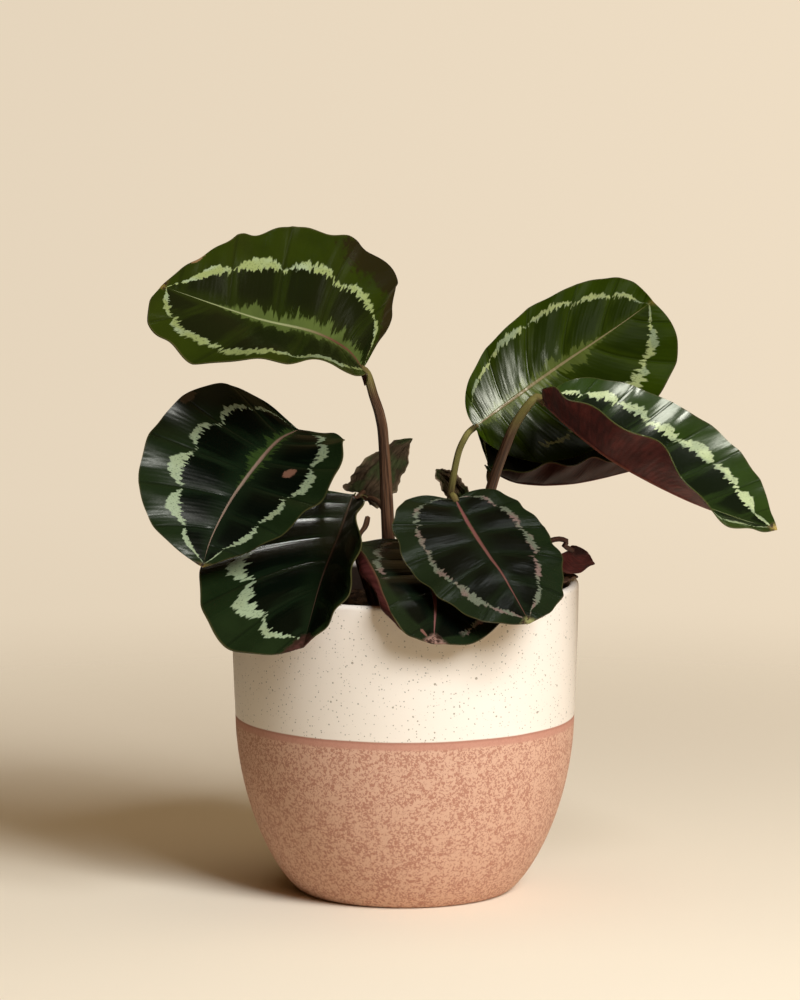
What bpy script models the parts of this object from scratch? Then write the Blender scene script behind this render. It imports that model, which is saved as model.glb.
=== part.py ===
"""A potted calathea: eight patterned leaves and a few withered ones on their own stalks, standing in
potting soil in a round ceramic pot. Lengths are in millimetres until a mesh is made, in metres.
X runs to the right, Y away from the front and Z up. The origin is under the middle of the pot."""

import math
from dataclasses import dataclass

import bmesh
import bpy
import numpy as np

MM = 0.001
GAP = 0.3  # left between neighbouring solids
JOINT_GAP = 1.0  # before the base of a blade, whose folds and triangles take up most of it

# Pot: a nearly straight upper wall over a rounded bowl with a flat foot
POT_HEIGHT = 135.3
RIM_RADIUS = 75.3
GLAZE_HEIGHT = 77.0
GLAZE_RADIUS = 73.6
FOOT_RADIUS = 45.5
WALL = 4.2
POT_FLOOR = 6.0
POT_SIDES = 48

# Soil: its surface lies a little below the rim
SOIL_TOP = 121.0
SOIL_LUMP = 1.3
ROOT_DEPTH = 22.0  # how deep each stalk stands in its hole
HOLE_PLAY = 0.45

# Blades
BLADE_THICKNESS = 0.8
COLUMNS = (0.0, 0.32, 0.58, 0.8, 1.0)  # of a blade, from the midrib to the margin
FEW_COLUMNS = (0.0, 0.5, 1.0)
STALK_HALF = 1.5  # half width of a blade where its stalk meets it
VEIN_LEAN = 1.45  # how far the veins run forward as they leave the midrib
VEIN_BEND = 1.35
FRAME_STIFFNESS = 0.55  # how little a bent midrib turns the blade beside it

STALK_SIDES = 8
RING_SPACING = 8.0  # along a stalk


@dataclass
class Leaf:
    """A blade. Pairs are (left, right), seen on its upper face with the tip ahead. Triples and pairs
    inside them run from the stalk to the tip. Angles are degrees above the plane of the face."""

    name: str
    midrib: tuple
    faces: tuple
    half: tuple
    lobe: tuple = (4, 4)  # how far the base reaches back past the stalk
    shoulder: tuple = (0, 0)  # how far the end bulges ahead
    widest: tuple = (0.45, 0.45)  # where along the midrib
    tip: float = 3.0
    taper: tuple = ((0.9, 0.9), (0.9, 0.9))  # below 1 is full
    fold: tuple = ((0, 0), (0, 0))  # angle of each half at the midrib
    curl: tuple = ((0, 0), (0, 0))  # angle added from the midrib to the margin
    roll: tuple = ((0, 0), (0, 0))  # angle added near the margin only
    wave: tuple = (1.0, 5, 0.0)  # height, how many along the margin, phase
    rows: int = 18
    columns: tuple = COLUMNS
    colour: tuple = (0.03, 0.06, 0.02)


@dataclass
class Stalk:
    """A leaf stalk that rises from a hole in the soil at root, through the path, to its blade."""

    name: str
    root: tuple
    path: tuple
    radii: tuple  # evenly from the root to the top
    blade: str = ""
    under: bool = False  # joined under the base of the blade, not behind it
    colour: tuple = (0.16, 0.09, 0.05)


GREEN = (0.025, 0.055, 0.018)
LIGHT_GREEN = (0.06, 0.12, 0.02)
WITHERED = (0.09, 0.055, 0.035)
MAROON = (0.10, 0.02, 0.018)

LEAVES = (
    Leaf(
        "blade_upper_left",
        midrib=(
            (-18, -6, 227.5),
            (-25.5, -12, 237),
            (-40, -22, 245.5),
            (-64, -32, 252.5),
            (-102.5, -54, 268.5),
        ),
        faces=(-0.1, -0.75, 0.55),
        half=(43, 51),
        lobe=(-1, 8),
        shoulder=(18, -13),
        widest=(0.47, 0.33),
        taper=((1.05, 0.85), (0.8, 0.8)),
        fold=((43, 36, 5), (5, 5, 15)),
        curl=((0, 10, 0), (5, 5, 5)),
        wave=(1.5, 6, 0.5),
        colour=LIGHT_GREEN,
    ),
    Leaf(
        "blade_mid_left",
        midrib=(
            (-45.5, -18, 203),
            (-56, -28, 197.5),
            (-72, -46, 179),
            (-81.5, -60, 162.5),
            (-85, -70, 151.5),
        ),
        faces=(-0.2, -0.85, 0.45),
        half=(44, 48),
        lobe=(0, 8),
        shoulder=(-7, -3),
        widest=(0.37, 0.42),
        taper=((1.0, 0.8), (0.8, 0.8)),
        fold=((26, 14, 5), (5, 5, 5)),
        curl=((20, 10, 5), (0, 0, 0)),
        wave=(1.0, 6, 0.0),
        colour=GREEN,
    ),
    Leaf(
        "blade_lower_left",
        midrib=((-22, -4, 173), (-27, -34, 161.5), (-35, -66, 145), (-42.5, -92, 121)),
        faces=(-0.2, -0.7, 0.7),
        half=(38, 55.5),
        lobe=(-14, 9),
        shoulder=(0, 17),
        widest=(0.55, 0.5),
        taper=((2.0, 0.8), (0.9, 0.9)),
        fold=((45, 50, 35), (5, 5, 5)),
        curl=((20, 20, 10), (-10, -10, 0)),
        wave=(1.5, 6, 0.0),
        colour=GREEN,
    ),
    Leaf(
        "blade_front_centre",
        midrib=(
            (21.5, -26, 174),
            (27.5, -42, 165),
            (35, -60, 155.5),
            (41.5, -74, 148),
            (52, -94, 131.5),
        ),
        faces=(0.1, -0.75, 0.65),
        half=(30, 35),
        lobe=(9, 14),
        shoulder=(3, 2),
        widest=(0.5, 0.45),
        fold=((5, 5, 0), (5, 0, 0)),
        curl=((-10, -10, -10), (-5, -5, -5)),
        wave=(0.6, 5, 0.0),
        colour=GREEN,
    ),
    Leaf(
        "blade_front_low",
        midrib=((4.5, -18, 155), (8.5, -40, 149), (12.5, -70, 138.5), (12, -89, 122)),
        faces=(0.0, -0.6, 0.8),
        half=(38, 38),
        lobe=(8, 4),
        shoulder=(8, 6),
        widest=(0.42, 0.45),
        fold=((5, 5, 0), (5, 10, 10)),
        curl=((-10, -10, -10), (10, 10, 10)),
        roll=((0, 0, 0), (0, 90, 160, 150)),
        colour=GREEN,
    ),
    Leaf(
        "blade_upper_right",
        midrib=((30.5, 12, 200.5), (45, 8, 212), (64.5, 2, 227), (88.5, -7, 244.5), (106, -14, 258)),
        faces=(0.15, -0.9, 0.4),
        half=(28, 40),
        lobe=(1, 3),
        shoulder=(5, 9),
        widest=(0.52, 0.5),
        taper=((0.9, 0.9), (1.3, 0.85)),
        fold=((10, 10, 5), (0, -10, -10)),
        curl=((5, 5, 5), (-5, -5, -5)),
        wave=(0.8, 5, 0.0),
        colour=LIGHT_GREEN,
    ),
    Leaf(
        "blade_right_rolled",
        midrib=(
            (59, -24, 216.5),
            (71, -30, 205.5),
            (89.5, -38, 192),
            (117, -46, 178),
            (140, -54, 170),
            (157, -60, 166),
        ),
        faces=(0.4, 0.0, 0.9),
        half=(38, 40),
        lobe=(4, 1),
        shoulder=(-5, 0),
        widest=(0.5, 0.4),
        fold=((38, 38, 35), (20, 25, -10)),
        curl=((45, 52, 40), (10, 10, 0)),
        wave=(1.5, 6, 0.0),
        colour=GREEN,
    ),
    Leaf(
        "blade_right_under",
        midrib=((36, 13, 183), (50, 8, 177), (73.5, 2, 177.5), (103.5, -5, 185)),
        faces=(-0.1, -0.1, 1.0),
        half=(35, 26),
        lobe=(20, 3),
        widest=(0.45, 0.55),
        fold=((55, 30, 20), (15, 25, 30)),
        curl=((40, 40, 40), (15, 15, 15)),
        wave=(1.5, 5, 0.0),
        colour=GREEN,
    ),
    Leaf(
        "withered_back",
        midrib=((-18.5, 19, 170), (-11.5, 21, 178.5), (-3, 24, 188), (3.5, 26, 193.5)),
        faces=(0.3, 0.9, -0.3),
        half=(12, 13),
        lobe=(2, 4),
        widest=(0.25, 0.15),
        tip=3.0,
        taper=((0.6, 1.3), (0.6, 0.8)),
        fold=((10, 10), (15, 15)),
        curl=((20, 20), (20, 20)),
        wave=(1.2, 3, 0.0),
        rows=10,
        columns=FEW_COLUMNS,
        colour=WITHERED,
    ),
    Leaf(
        "withered_centre",
        midrib=((25.5, 18, 166.5), (20.5, 19, 172.5), (16.5, 21, 177), (13.5, 22, 180.5)),
        faces=(0.0, -0.9, 0.3),
        half=(5, 7),
        lobe=(1, 1),
        tip=1.0,
        fold=((20, 20), (30, 30)),
        curl=((20, 20), (20, 20)),
        wave=(0.5, 3, 0.0),
        rows=10,
        columns=FEW_COLUMNS,
        colour=WITHERED,
    ),
    Leaf(
        "withered_right",
        midrib=((71, -12, 150.5), (75, -11, 148), (82, -9, 143.5)),
        faces=(0, 0.9, -0.2),
        half=(10, 3),
        lobe=(5, 0),
        tip=2.0,
        curl=((15, 15), (10, 10)),
        wave=(0.5, 3, 0.0),
        rows=10,
        columns=FEW_COLUMNS,
        colour=MAROON,
    ),
    Leaf(
        "withered_rim",
        midrib=((60, -9, 130.5), (65, -7, 134.8), (70, -5, 137), (75, -3, 137)),
        faces=(-0.4, -0.6, 0.7),
        half=(4, 4),
        lobe=(1, 1),
        tip=1.0,
        fold=((20, 20), (20, 20)),
        curl=((20, 20), (20, 20)),
        wave=(0.5, 3, 0.0),
        rows=10,
        columns=FEW_COLUMNS,
        colour=WITHERED,
    ),
)

STALKS = (
    Stalk(
        "stalk_upper_left",
        root=(-6, 3),
        path=((-7, 2, 150), (-9, 1, 193.5), (-10.5, 0, 206), (-13.5, -2, 216)),
        radii=(3, 3, 2.8, 2.3, 1.9),
        blade="blade_upper_left",
    ),
    Stalk(
        "stalk_mid_left",
        root=(-14, 8),
        path=((-20, 9, 144.5), (-30, 8, 163), (-38, 1, 180), (-43, -9, 194)),
        radii=(2.6, 2.4, 2, 1.7),
        blade="blade_mid_left",
        under=True,
    ),
    Stalk(
        "stalk_lower_left",
        root=(-13, -6),
        path=((-19.5, -4, 144.5), (-22.5, -1, 157.5), (-23, 0, 165)),
        radii=(2.6, 2.3, 2, 1.7),
        blade="blade_lower_left",
        under=True,
    ),
    Stalk(
        "stalk_front_centre",
        root=(15, -8),
        path=((19, -5, 145.5), (21.5, -9, 160)),
        radii=(2.4, 2.1, 1.8, 1.6),
        blade="blade_front_centre",
    ),
    Stalk(
        "stalk_front_low",
        root=(0, -9),
        path=((2, -10, 141), (3.5, -13, 149)),
        radii=(2.4, 2.1, 1.8, 1.6),
        blade="blade_front_low",
        under=True,
    ),
    Stalk(
        "stalk_upper_right",
        root=(15, 5),
        path=((18.5, 8, 156), (20, 10, 172), (23, 12, 188), (26, 11.5, 195.5)),
        radii=(1.9, 1.7, 1.5, 1.4),
        blade="blade_upper_right",
    ),
    Stalk(
        "stalk_right_rolled",
        root=(25, -2),
        path=((31.5, -9, 153), (37, -18, 178), (43.5, -23, 197.5), (48, -24, 207.5)),
        radii=(2.7, 2.5, 2.4, 2.2, 1.8),
        blade="blade_right_rolled",
    ),
    Stalk(
        "stalk_right_under",
        root=(25, 8),
        path=((33.5, 11, 151.5), (38, 16, 170)),
        radii=(2.2, 1.9, 1.7, 1.5),
        blade="blade_right_under",
        under=True,
    ),
    Stalk(
        "stalk_withered_centre",
        root=(10, 13),
        path=((17.5, 18, 151), (22.5, 20, 160)),
        radii=(1.5, 1.3, 1.1),
        blade="withered_centre",
    ),
    Stalk(
        "stalk_withered_right",
        root=(32, -9),
        path=((41, -10, 139), (56, -13, 151), (65, -14, 155), (70, -14, 154)),
        radii=(1.6, 1.3, 1.1),
        blade="withered_right",
    ),
    Stalk("stalk_withered_rim", root=(56, -10), path=(), radii=(1.3, 1.2, 1.1), blade="withered_rim"),
    Stalk(
        "dry_stub",
        root=(-11, -16),
        path=((-16, -12, 143), (-20, -10, 154), (-17, -9, 160), (-16, -9, 164)),
        radii=(1.6, 1.4, 1.2, 0.9),
    ),
)

# The withered leaf at the back grows from the upper left leaf's stalk
SIDE_STALK = ((-7.5, 2.5, 158), (-9, 9, 164.5), (-14, 15, 168.5))
SIDE_STALK_RADII = (1.4, 1.2, 1.1)
SIDE_STALK_BLADE = "withered_back"


def clear_scene():
    for obj in list(bpy.data.objects):
        bpy.data.objects.remove(obj, do_unlink=True)


def material(name, colour, roughness):
    made = bpy.data.materials.new(name)
    made.use_nodes = True
    shader = made.node_tree.nodes["Principled BSDF"]
    shader.inputs["Base Color"].default_value = (*colour, 1)
    shader.inputs["Roughness"].default_value = roughness
    made.diffuse_color = (*colour, 1)
    return made


def mesh_object(name, points, faces, finish):
    """An object from points in millimetres and faces that are turned outward here."""
    mesh = bpy.data.meshes.new(name)
    mesh.from_pydata([tuple(p) for p in np.asarray(points) * MM], [], faces)
    shape = bmesh.new()
    shape.from_mesh(mesh)
    bmesh.ops.recalc_face_normals(shape, faces=shape.faces)
    shape.to_mesh(mesh)
    shape.free()
    mesh.materials.append(finish)
    mesh.shade_smooth()
    mesh.set_sharp_from_angle(angle=math.radians(40))
    obj = bpy.data.objects.new(name, mesh)
    bpy.context.scene.collection.objects.link(obj)
    return obj


def unit(v):
    return v / np.linalg.norm(v, axis=-1, keepdims=True)


def smooth_path(points, count):
    """A Catmull-Rom curve through the points, read at count even steps, and its length."""
    p = np.array(points, float)
    p = np.vstack([2 * p[0] - p[1], p, 2 * p[-1] - p[-2]])
    fine = [p[1]]
    for a, b, c, d in zip(p, p[1:], p[2:], p[3:]):
        for s in np.arange(1, 25) / 24:
            bend = (2 * a - 5 * b + 4 * c - d) * s**2 + (3 * b - a - 3 * c + d) * s**3
            fine.append(b + ((c - a) * s + bend) / 2)
    fine = np.array(fine)
    run = np.concatenate([[0], np.cumsum(np.linalg.norm(np.diff(fine, axis=0), axis=1))])
    steps = np.linspace(0, run[-1], count)
    return np.stack([np.interp(steps, run, fine[:, k]) for k in range(3)], axis=1), run[-1]


def blend(values, s):
    """Values that stand at even steps from 0 to 1, read with eased steps at s."""
    values = np.array(values, float)
    last = len(values) - 1
    s = np.clip(s, 0, 1) * last
    i = np.clip(np.floor(s).astype(int), 0, last - 1)
    f = s - i
    f = f * f * (3 - 2 * f)
    return values[i] * (1 - f) + values[i + 1] * f


def outline(leaf, k, v, length):
    """The flat margin of one half: x along the midrib and y out from it, for v from 0 to 1."""
    turn = math.pi * v**0.9
    out = np.abs(np.sin(turn))
    skew = math.log(leaf.widest[k]) / math.log(0.5)
    x = (length - leaf.tip) * ((1 - np.cos(turn)) / 2) ** skew
    x = x - 1.9 * leaf.lobe[k] * out * (1 - v) ** 2 + 3.2 * leaf.shoulder[k] * out * v**3
    x = x + leaf.tip * np.clip((v - 0.88) / 0.12, 0, 1) ** 2
    base, end = leaf.taper[k]
    y = leaf.half[k] * out ** (base + (end - base) * v) + STALK_HALF * (1 - v) ** 8
    return x, y


def blade_surface(leaf, v, t):
    """The middle surface of a blade. v runs from 0 at the stalk to 1 at the tip along the veins' feet,
    and t from -1 at the left margin over 0 at the midrib to 1 at the right margin."""
    v, t = np.broadcast_arrays(np.asarray(v, float), np.asarray(t, float))
    left = t < 0
    s = np.abs(t)
    rib, length = smooth_path(leaf.midrib, 200)
    (left_x, left_y), (right_x, right_y) = (outline(leaf, k, v, length) for k in (0, 1))
    foot = length * v**VEIN_LEAN
    x = foot + (np.where(left, left_x, right_x) - foot) * s**VEIN_BEND
    y = np.where(left, left_y, right_y) * s

    along = np.clip(x / length, 0, 1)
    steps = np.linspace(0, 1, len(rib))
    directions = unit(np.gradient(rib, axis=0))
    point = np.stack([np.interp(along, steps, rib[:, k]) for k in range(3)], -1)
    ahead = unit(np.stack([np.interp(along, steps, directions[:, k]) for k in range(3)], -1))
    point = point + ahead * (x - along * length)[..., None]
    ahead = unit(ahead * (1 - FRAME_STIFFNESS) + unit(rib[-1] - rib[0]) * FRAME_STIFFNESS)
    faces = unit(np.array(leaf.faces, float))
    up = unit(faces - ahead * (ahead @ faces)[..., None])
    right = np.cross(ahead, up)

    def angle(pair):
        return np.radians(np.where(left, blend(pair[0], along), blend(pair[1], along)))

    fold, curl, roll = angle(leaf.fold), angle(leaf.curl), angle(leaf.roll)
    reach = y / np.where(left, *leaf.half)

    def slope(part):
        return fold + curl * reach * part + roll * np.clip((s * part - 0.8) / 0.1, 0, 1)

    parts = (np.arange(24) + 0.5) / 24
    across = sum(np.cos(slope(part)) for part in parts) * y / len(parts)
    rise = sum(np.sin(slope(part)) for part in parts) * y / len(parts)
    side = np.where(left, -1.0, 1.0)
    point = point + right * (side * across)[..., None] + up * rise[..., None]
    normal = up * np.cos(slope(1))[..., None] - right * (side * np.sin(slope(1)))[..., None]
    height, count, phase = leaf.wave
    swell = np.sqrt(np.sin(math.pi * v).clip(0))
    ripple = height * s**3 * swell * np.sin(2 * math.pi * (count * v + phase + 0.37 * left))
    return point + normal * ripple[..., None]


def grid_normals(points):
    """Normals of a grid of points, rows by columns. The last row is one point and takes the row before."""
    down = np.gradient(points, axis=0)
    over = np.gradient(points, axis=1)
    normals = np.cross(down, over)
    normals[-1] = normals[-2]
    return unit(normals)


def add_blade(leaf):
    """A closed thin solid: two faces of alike triangles, joined by a wall along the margin."""
    columns = np.array([-c for c in leaf.columns[:0:-1]] + list(leaf.columns))
    rows = np.linspace(0, 1, leaf.rows + 1)
    middle = blade_surface(leaf, rows[:, None], columns[None, :])
    offset = grid_normals(middle) * BLADE_THICKNESS / 2
    wide = len(columns)
    points = []
    for sign in (1, -1):
        sheet = middle + sign * offset
        points += list(sheet[:-1].reshape(-1, 3)) + [sheet[-1].mean(axis=0)]
    below = len(points) // 2

    def spot(i, j):
        return leaf.rows * wide if i == leaf.rows else i * wide + j

    faces = []
    for i in range(leaf.rows):
        for j in range(wide - 1):
            a, b, c, d = spot(i, j), spot(i, j + 1), spot(i + 1, j + 1), spot(i + 1, j)
            cell = [(a, b, c)] if c == d else [(a, b, c), (a, c, d)]
            faces += cell
            faces += [tuple(n + below for n in reversed(face)) for face in cell]
    edge = [spot(0, j) for j in range(wide)] + [spot(i, wide - 1) for i in range(1, leaf.rows + 1)]
    edge += [spot(i, 0) for i in range(leaf.rows - 1, -1, -1)]
    for a, b in zip(edge, edge[1:]):
        faces += [(a, b, b + below), (a, b + below, a + below)]
    return mesh_object(leaf.name, points, faces, material(leaf.name, leaf.colour, 0.4))


def tube(name, path, radii, finish):
    """A round solid along a smooth path, with flat ends."""
    rings = max(6, round(smooth_path(path, 2)[1] / RING_SPACING))
    centres, _ = smooth_path(path, rings)
    radius = blend(radii, np.linspace(0, 1, rings))
    ahead = unit(np.gradient(centres, axis=0))
    side = unit(np.cross(ahead[0], (0.3, 1, 0)))
    points = []
    for centre, way, r in zip(centres, ahead, radius):
        side = unit(side - way * (side @ way))
        other = np.cross(way, side)
        for k in range(STALK_SIDES):
            a = 2 * math.pi * k / STALK_SIDES
            points.append(centre + (side * math.cos(a) + other * math.sin(a)) * r)
    faces = []
    for i in range(rings - 1):
        for k in range(STALK_SIDES):
            a, b = i * STALK_SIDES + k, i * STALK_SIDES + (k + 1) % STALK_SIDES
            faces.append((a, b, b + STALK_SIDES, a + STALK_SIDES))
    faces += [tuple(range(STALK_SIDES)), tuple(range(len(points) - STALK_SIDES, len(points)))]
    return mesh_object(name, points, faces, finish)


def joint_points(blade, radius, under=False):
    """The last two points of a stalk. It runs into the base of its blade from behind, in line with
    the midrib, or comes up under it, and ends at the usual gap."""
    leaf = next(leaf for leaf in LEAVES if leaf.name == blade)
    rib, _ = smooth_path(leaf.midrib, 40)
    ahead = unit(unit(rib[1] - rib[0]) * (1 - FRAME_STIFFNESS) + unit(rib[-1] - rib[0]) * FRAME_STIFFNESS)
    faces = unit(np.array(leaf.faces, float))
    up = unit(faces - ahead * (ahead @ faces))
    if under:
        end = rib[0] + ahead * radius - up * (BLADE_THICKNESS / 2 + JOINT_GAP)
        return [end - up * 4, end]
    end = rib[0] - ahead * JOINT_GAP
    return [end - ahead * 4 - up, end]


def add_stalk(stalk):
    x, y = stalk.root
    path = [(x, y, SOIL_TOP + z) for z in (-ROOT_DEPTH, -ROOT_DEPTH / 2, 1, 4)] + list(stalk.path)
    if stalk.blade:
        path += joint_points(stalk.blade, stalk.radii[-1], stalk.under)
    return tube(stalk.name, path, stalk.radii, material(stalk.name, stalk.colour, 0.55))


def add_side_stalk(carrier):
    path = list(SIDE_STALK) + joint_points(SIDE_STALK_BLADE, SIDE_STALK_RADII[-1])
    side = tube("side_stalk", path, SIDE_STALK_RADII, carrier.active_material)
    side.hide_render = True
    side.display_type = "WIRE"
    join = carrier.modifiers.new("side_stalk", "BOOLEAN")
    join.operation = "UNION"
    join.object = side


def outer_radius(z):
    """The pot's outside: it widens from the foot as a super-ellipse, then runs almost straight up."""
    if z > GLAZE_HEIGHT:
        s = (z - GLAZE_HEIGHT) / (POT_HEIGHT - GLAZE_HEIGHT)
        return GLAZE_RADIUS + (RIM_RADIUS - GLAZE_RADIUS) * (1 - (1 - s) ** 1.6)
    s = 1 - z / GLAZE_HEIGHT
    return FOOT_RADIUS + (GLAZE_RADIUS - FOOT_RADIUS) * (1 - s**1.88) ** (1 / 1.35)


def cavity():
    """The (radius, height) points of the pot's inside, from its floor up to the soil's surface."""
    rise = POT_HEIGHT / (POT_HEIGHT - POT_FLOOR)
    heights = (POT_FLOOR, 14, 34, 80, SOIL_TOP)
    return [(outer_radius((z - POT_FLOOR) * rise) - WALL, z) for z in heights]


def lathe(name, profile, finish):
    """A solid turned round Z from (radius, height) points that start and end on the axis."""
    ring = [2 * math.pi * k / POT_SIDES for k in range(POT_SIDES)]
    points = [(0, 0, profile[0][1])]
    for r, z in profile[1:-1]:
        points += [(r * math.cos(a), r * math.sin(a), z) for a in ring]
    points.append((0, 0, profile[-1][1]))
    top = len(points) - 1
    faces = []
    for k in range(POT_SIDES):
        n = (k + 1) % POT_SIDES
        faces.append((0, 1 + n, 1 + k))
        faces.append((top, top - POT_SIDES + k, top - POT_SIDES + n))
        for i in range(len(profile) - 3):
            a, b = 1 + i * POT_SIDES + k, 1 + i * POT_SIDES + n
            faces.append((a, b, b + POT_SIDES, a + POT_SIDES))
    return mesh_object(name, points, faces, finish)


def add_pot():
    bowl = [(outer_radius(z), z) for z in (0, 1.5, 4, 9, 16, 26, 38, 52, GLAZE_HEIGHT)]
    wall = [(outer_radius(z), z) for z in (95, 115, POT_HEIGHT - WALL / 2)]
    lip = []
    for k in range(1, 6):
        a = math.pi * k / 5
        out, up = math.cos(a), math.sin(a)
        lip.append((RIM_RADIUS - WALL / 2 * (1 - out), POT_HEIGHT - WALL / 2 * (1 - up)))
    profile = [(0, 0)] + bowl + wall + lip + cavity()[::-1] + [(0, POT_FLOOR)]
    return lathe("pot", profile, material("pot", (0.62, 0.42, 0.32), 0.45))


def add_soil():
    wall = [(r - GAP, z + GAP) for r, z in cavity()[:-1]]
    spread = cavity()[-1][0] - GAP
    wall.append((spread, SOIL_TOP))
    surface = [(spread * f, SOIL_TOP) for f in (0.85, 0.65, 0.45, 0.25)]
    profile = [(0, POT_FLOOR + GAP)] + wall + surface + [(0, SOIL_TOP)]
    soil = lathe("potting_soil", profile, material("potting_soil", (0.02, 0.014, 0.01), 0.95))
    for vertex in soil.data.vertices:
        x, y, z = vertex.co / MM
        if z > SOIL_TOP - 1 and math.hypot(x, y) < spread - 1:
            lump = math.sin(x / 7 + 1) * math.cos(y / 6) + 0.6 * math.sin(x / 3.7 - y / 4.9)
            vertex.co.z += SOIL_LUMP * lump * MM
    return soil


def add_holes(soil):
    """One plain round hole in the soil for each stalk."""
    holes = bmesh.new()
    for stalk in STALKS:
        hole = bmesh.ops.create_cone(
            holes,
            cap_ends=True,
            segments=12,
            radius1=(stalk.radii[0] + HOLE_PLAY) * MM,
            radius2=(stalk.radii[0] + HOLE_PLAY) * MM,
            depth=2 * (ROOT_DEPTH + GAP) * MM,
        )
        bmesh.ops.translate(holes, verts=hole["verts"], vec=[n * MM for n in (*stalk.root, SOIL_TOP)])
    mesh = bpy.data.meshes.new("holes")
    holes.to_mesh(mesh)
    holes.free()
    cutter = bpy.data.objects.new("holes", mesh)
    bpy.context.scene.collection.objects.link(cutter)
    cutter.hide_render = True
    cutter.display_type = "WIRE"
    cut = soil.modifiers.new("holes", "BOOLEAN")
    cut.operation = "DIFFERENCE"
    cut.object = cutter


def main():
    clear_scene()
    add_pot()
    add_holes(add_soil())
    for leaf in LEAVES:
        add_blade(leaf)
    stalks = {stalk.name: add_stalk(stalk) for stalk in STALKS}
    add_side_stalk(stalks["stalk_upper_left"])


main()
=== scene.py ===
"""The looks of the potted calathea: fine patterned leaves, streaked stalks, a speckled pot and soil.
Lengths are in millimetres until a mesh is made, in metres. The leaves' and stalks' values are those of
the solids, which these pieces stand for."""

from dataclasses import dataclass
from math import cos, hypot, log, pi, radians, sin, sqrt

import bmesh
import bpy
import numpy as np
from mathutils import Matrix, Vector


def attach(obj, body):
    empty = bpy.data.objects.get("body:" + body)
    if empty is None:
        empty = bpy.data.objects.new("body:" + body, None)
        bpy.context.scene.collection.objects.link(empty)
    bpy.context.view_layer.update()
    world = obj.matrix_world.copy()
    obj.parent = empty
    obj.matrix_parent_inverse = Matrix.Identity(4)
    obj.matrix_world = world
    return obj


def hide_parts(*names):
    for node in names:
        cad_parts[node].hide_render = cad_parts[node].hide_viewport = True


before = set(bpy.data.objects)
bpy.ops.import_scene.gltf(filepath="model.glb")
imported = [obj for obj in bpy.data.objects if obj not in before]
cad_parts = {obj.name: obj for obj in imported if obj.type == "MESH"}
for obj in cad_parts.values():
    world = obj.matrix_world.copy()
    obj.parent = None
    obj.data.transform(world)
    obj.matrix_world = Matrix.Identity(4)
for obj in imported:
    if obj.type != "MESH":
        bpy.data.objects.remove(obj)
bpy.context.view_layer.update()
scene = bpy.context.scene

MM = 0.001

# Pot and soil
POT_HEIGHT = 135.3
RIM_RADIUS = 75.3
GLAZE_HEIGHT = 77.0
GLAZE_RADIUS = 73.6
FOOT_RADIUS = 45.5
WALL = 4.2
POT_FLOOR = 6.0
POT_SIDES = 192
STRIP_HEIGHT = 3.0  # of the plain strip below the glaze
SOIL_TOP = 121.0
SOIL_GAP = 0.3  # between soil and pot
SOIL_SIDES, SOIL_RINGS = 144, 52
SOIL_WAVES = 26  # that make up its lumps
CRUMBS = 420
CRUMB_CORNERS = 12
ROOT_DEPTH = 22.0

# Blades
BLADE_THICKNESS = 0.5
BLADE_ROWS, BLADE_COLUMNS = 120, 46
WITHERED_ROWS, WITHERED_COLUMNS = 60, 20
STALK_HALF = 1.5
VEIN_LEAN = 1.45  # how closely the veins' feet stand near the stalk
VEIN_BEND = 1.35  # how far the veins bend towards the tip near the margin
FRAME_STIFFNESS = 0.55  # how little the cross-sections turn with the midrib
RIB_DEPTH = 1.1  # of the midrib under the blade, where it leaves the stalk
RIB_HALF = 1.3
USUAL_LENGTH = 95.0  # of a blade, for the size of its damage
VEIN_LINES = 420.0  # the finest veins are waves, this many radians from stalk to tip
CURVE_STEPS = 24

# Stalks
STALK_SIDES = 20
RING_SPACING = 1.6

# Camera, in metres and degrees
CAMERA_TILT = 8.05
CAMERA_DISTANCE = 2.4
CAMERA_RAISE = 0.0199
CAMERA_AIM = (-0.0021, 0, 0.15)
LENS = 199.6
LIGHT_AIM = (0, 0, 0.13)
FLOOR_FADE = (0.24, 0.8)  # distances from the middle over which the floor fades out


@dataclass
class Marks:
    """What is drawn on a blade's upper face. Pairs are (left, right) halves."""

    ring: tuple = (0.75, 0.75)  # place of the pale ring between midrib and margin
    ring_width: float = 0.05
    ring_shown: tuple = (1.0, 1.0)
    ring_join: float = 0.1  # share of its width where it meets a main vein, and a gap below 0
    ring_from: tuple = (0.0, 0.0)  # v where the ring begins and ends
    ring_to: tuple = (1.0, 1.0)
    scallop: float = 0.08  # how far the ring bulges out between main veins
    lanes: float = 6.0  # stretches between main veins on each side
    phase: tuple = (0.0, 0.0)
    lane_depth: float = 0.9
    feather: float = 0.16  # reach of the pale feathering beside the midrib
    feather_end: float = 0.7
    teeth: float = 0.5  # how deep the margin draws in between its points
    pleat: float = 0.8  # height of the swell between main veins
    damage_and_shade_spots: tuple = ()  # (v, t, radius, colour) of damage, and of patches of painted shade
    tip: tuple = (0.985, (120, 100, 45))  # where the dry tip begins, and its colour
    rib: tuple = (130, 85, 75)
    rib_width: float = 1.0
    rib_end: tuple = ()  # its colour on the tip's side, if another
    ring_tint: tuple = (150, 160, 120)  # seen in parts of the ring
    feather_colour: tuple = (62, 84, 32)
    palette: str = "dark"
    under: tuple = ((62, 22, 18), (96, 40, 36))  # colours of the lower face
    glossy_base: bool = False


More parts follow.
